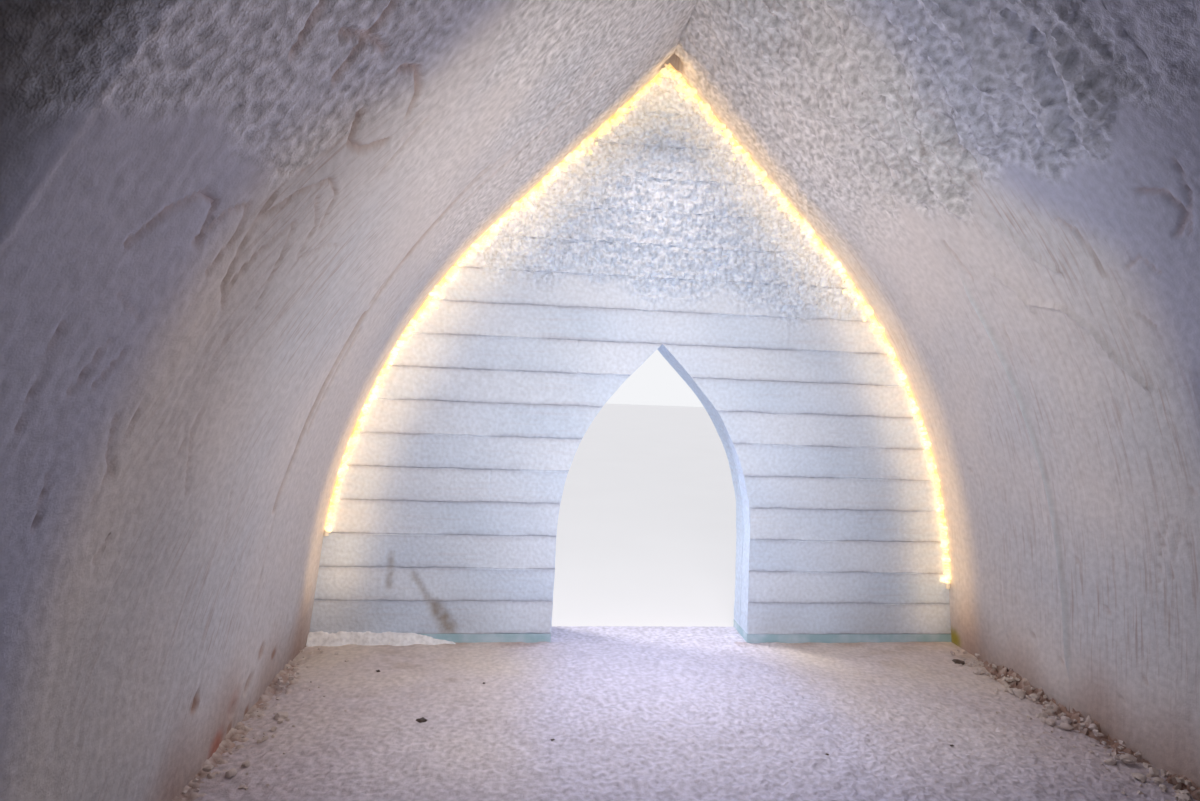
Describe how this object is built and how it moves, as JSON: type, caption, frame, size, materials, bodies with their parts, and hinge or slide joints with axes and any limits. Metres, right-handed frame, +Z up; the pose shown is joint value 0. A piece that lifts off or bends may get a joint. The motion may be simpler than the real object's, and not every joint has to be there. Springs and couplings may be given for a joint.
{
  "type": "igloo snow hall",
  "caption": "Pointed snow vault cast in bays, closed at both ends by coursed snow-block walls with pointed doorways and a light rope along each wall.",
  "frame": {"origin": "on the ground under the middle of the hall", "axes": "+Z up, +Y along the hall to the entrance wall, +X to the right of someone who faces the entrance wall from inside"},
  "size_m": [6.013, 8.7, 4.2348],
  "materials": {
    "cast_snow": "matt, wind-packed and frosted",
    "snow_blocks": "matt, sawn and rubbed smooth",
    "trodden_snow": "matt, trodden",
    "footing_ice": "clear to milky ice",
    "light_rope": "clear tube over warm lamps",
    "rope_cap": "matt"
  },
  "bodies": {
    "root": {"vault_bay_1_left": "cast_snow", "vault_bay_1_right": "cast_snow", "vault_bay_2_left": "cast_snow", "vault_bay_2_right": "cast_snow", "vault_bay_3_left": "cast_snow", "vault_bay_3_right": "cast_snow", "vault_bay_4_left": "cast_snow", "vault_bay_4_right": "cast_snow", "vault_bay_5_left": "cast_snow", "vault_bay_5_right": "cast_snow", "vault_bay_6_left": "cast_snow", "vault_bay_6_right": "cast_snow", "entrance_pier_left": "snow_blocks", "entrance_pier_right": "snow_blocks", "rear_pier_left": "snow_blocks", "rear_pier_right": "snow_blocks", "entrance_ice_strip_left": "footing_ice", "entrance_ice_strip_right": "footing_ice", "rear_ice_strip_left": "footing_ice", "rear_ice_strip_right": "footing_ice", "entrance_lintel_courses": "snow_blocks", "entrance_gable_courses": "snow_blocks", "entrance_peak_blocks": "snow_blocks", "entrance_threshold": "trodden_snow", "entrance_light_rope": "light_rope", "entrance_rope_caps": "rope_cap", "rear_lintel_courses": "snow_blocks", "rear_gable_courses": "snow_blocks", "rear_peak_blocks": "snow_blocks", "rear_threshold": "trodden_snow", "rear_light_rope": "light_rope", "rear_rope_caps": "rope_cap", "snow_floor": "trodden_snow", "left_snow_bank": "trodden_snow", "right_snow_bank": "trodden_snow"}
  },
  "joints": []
}
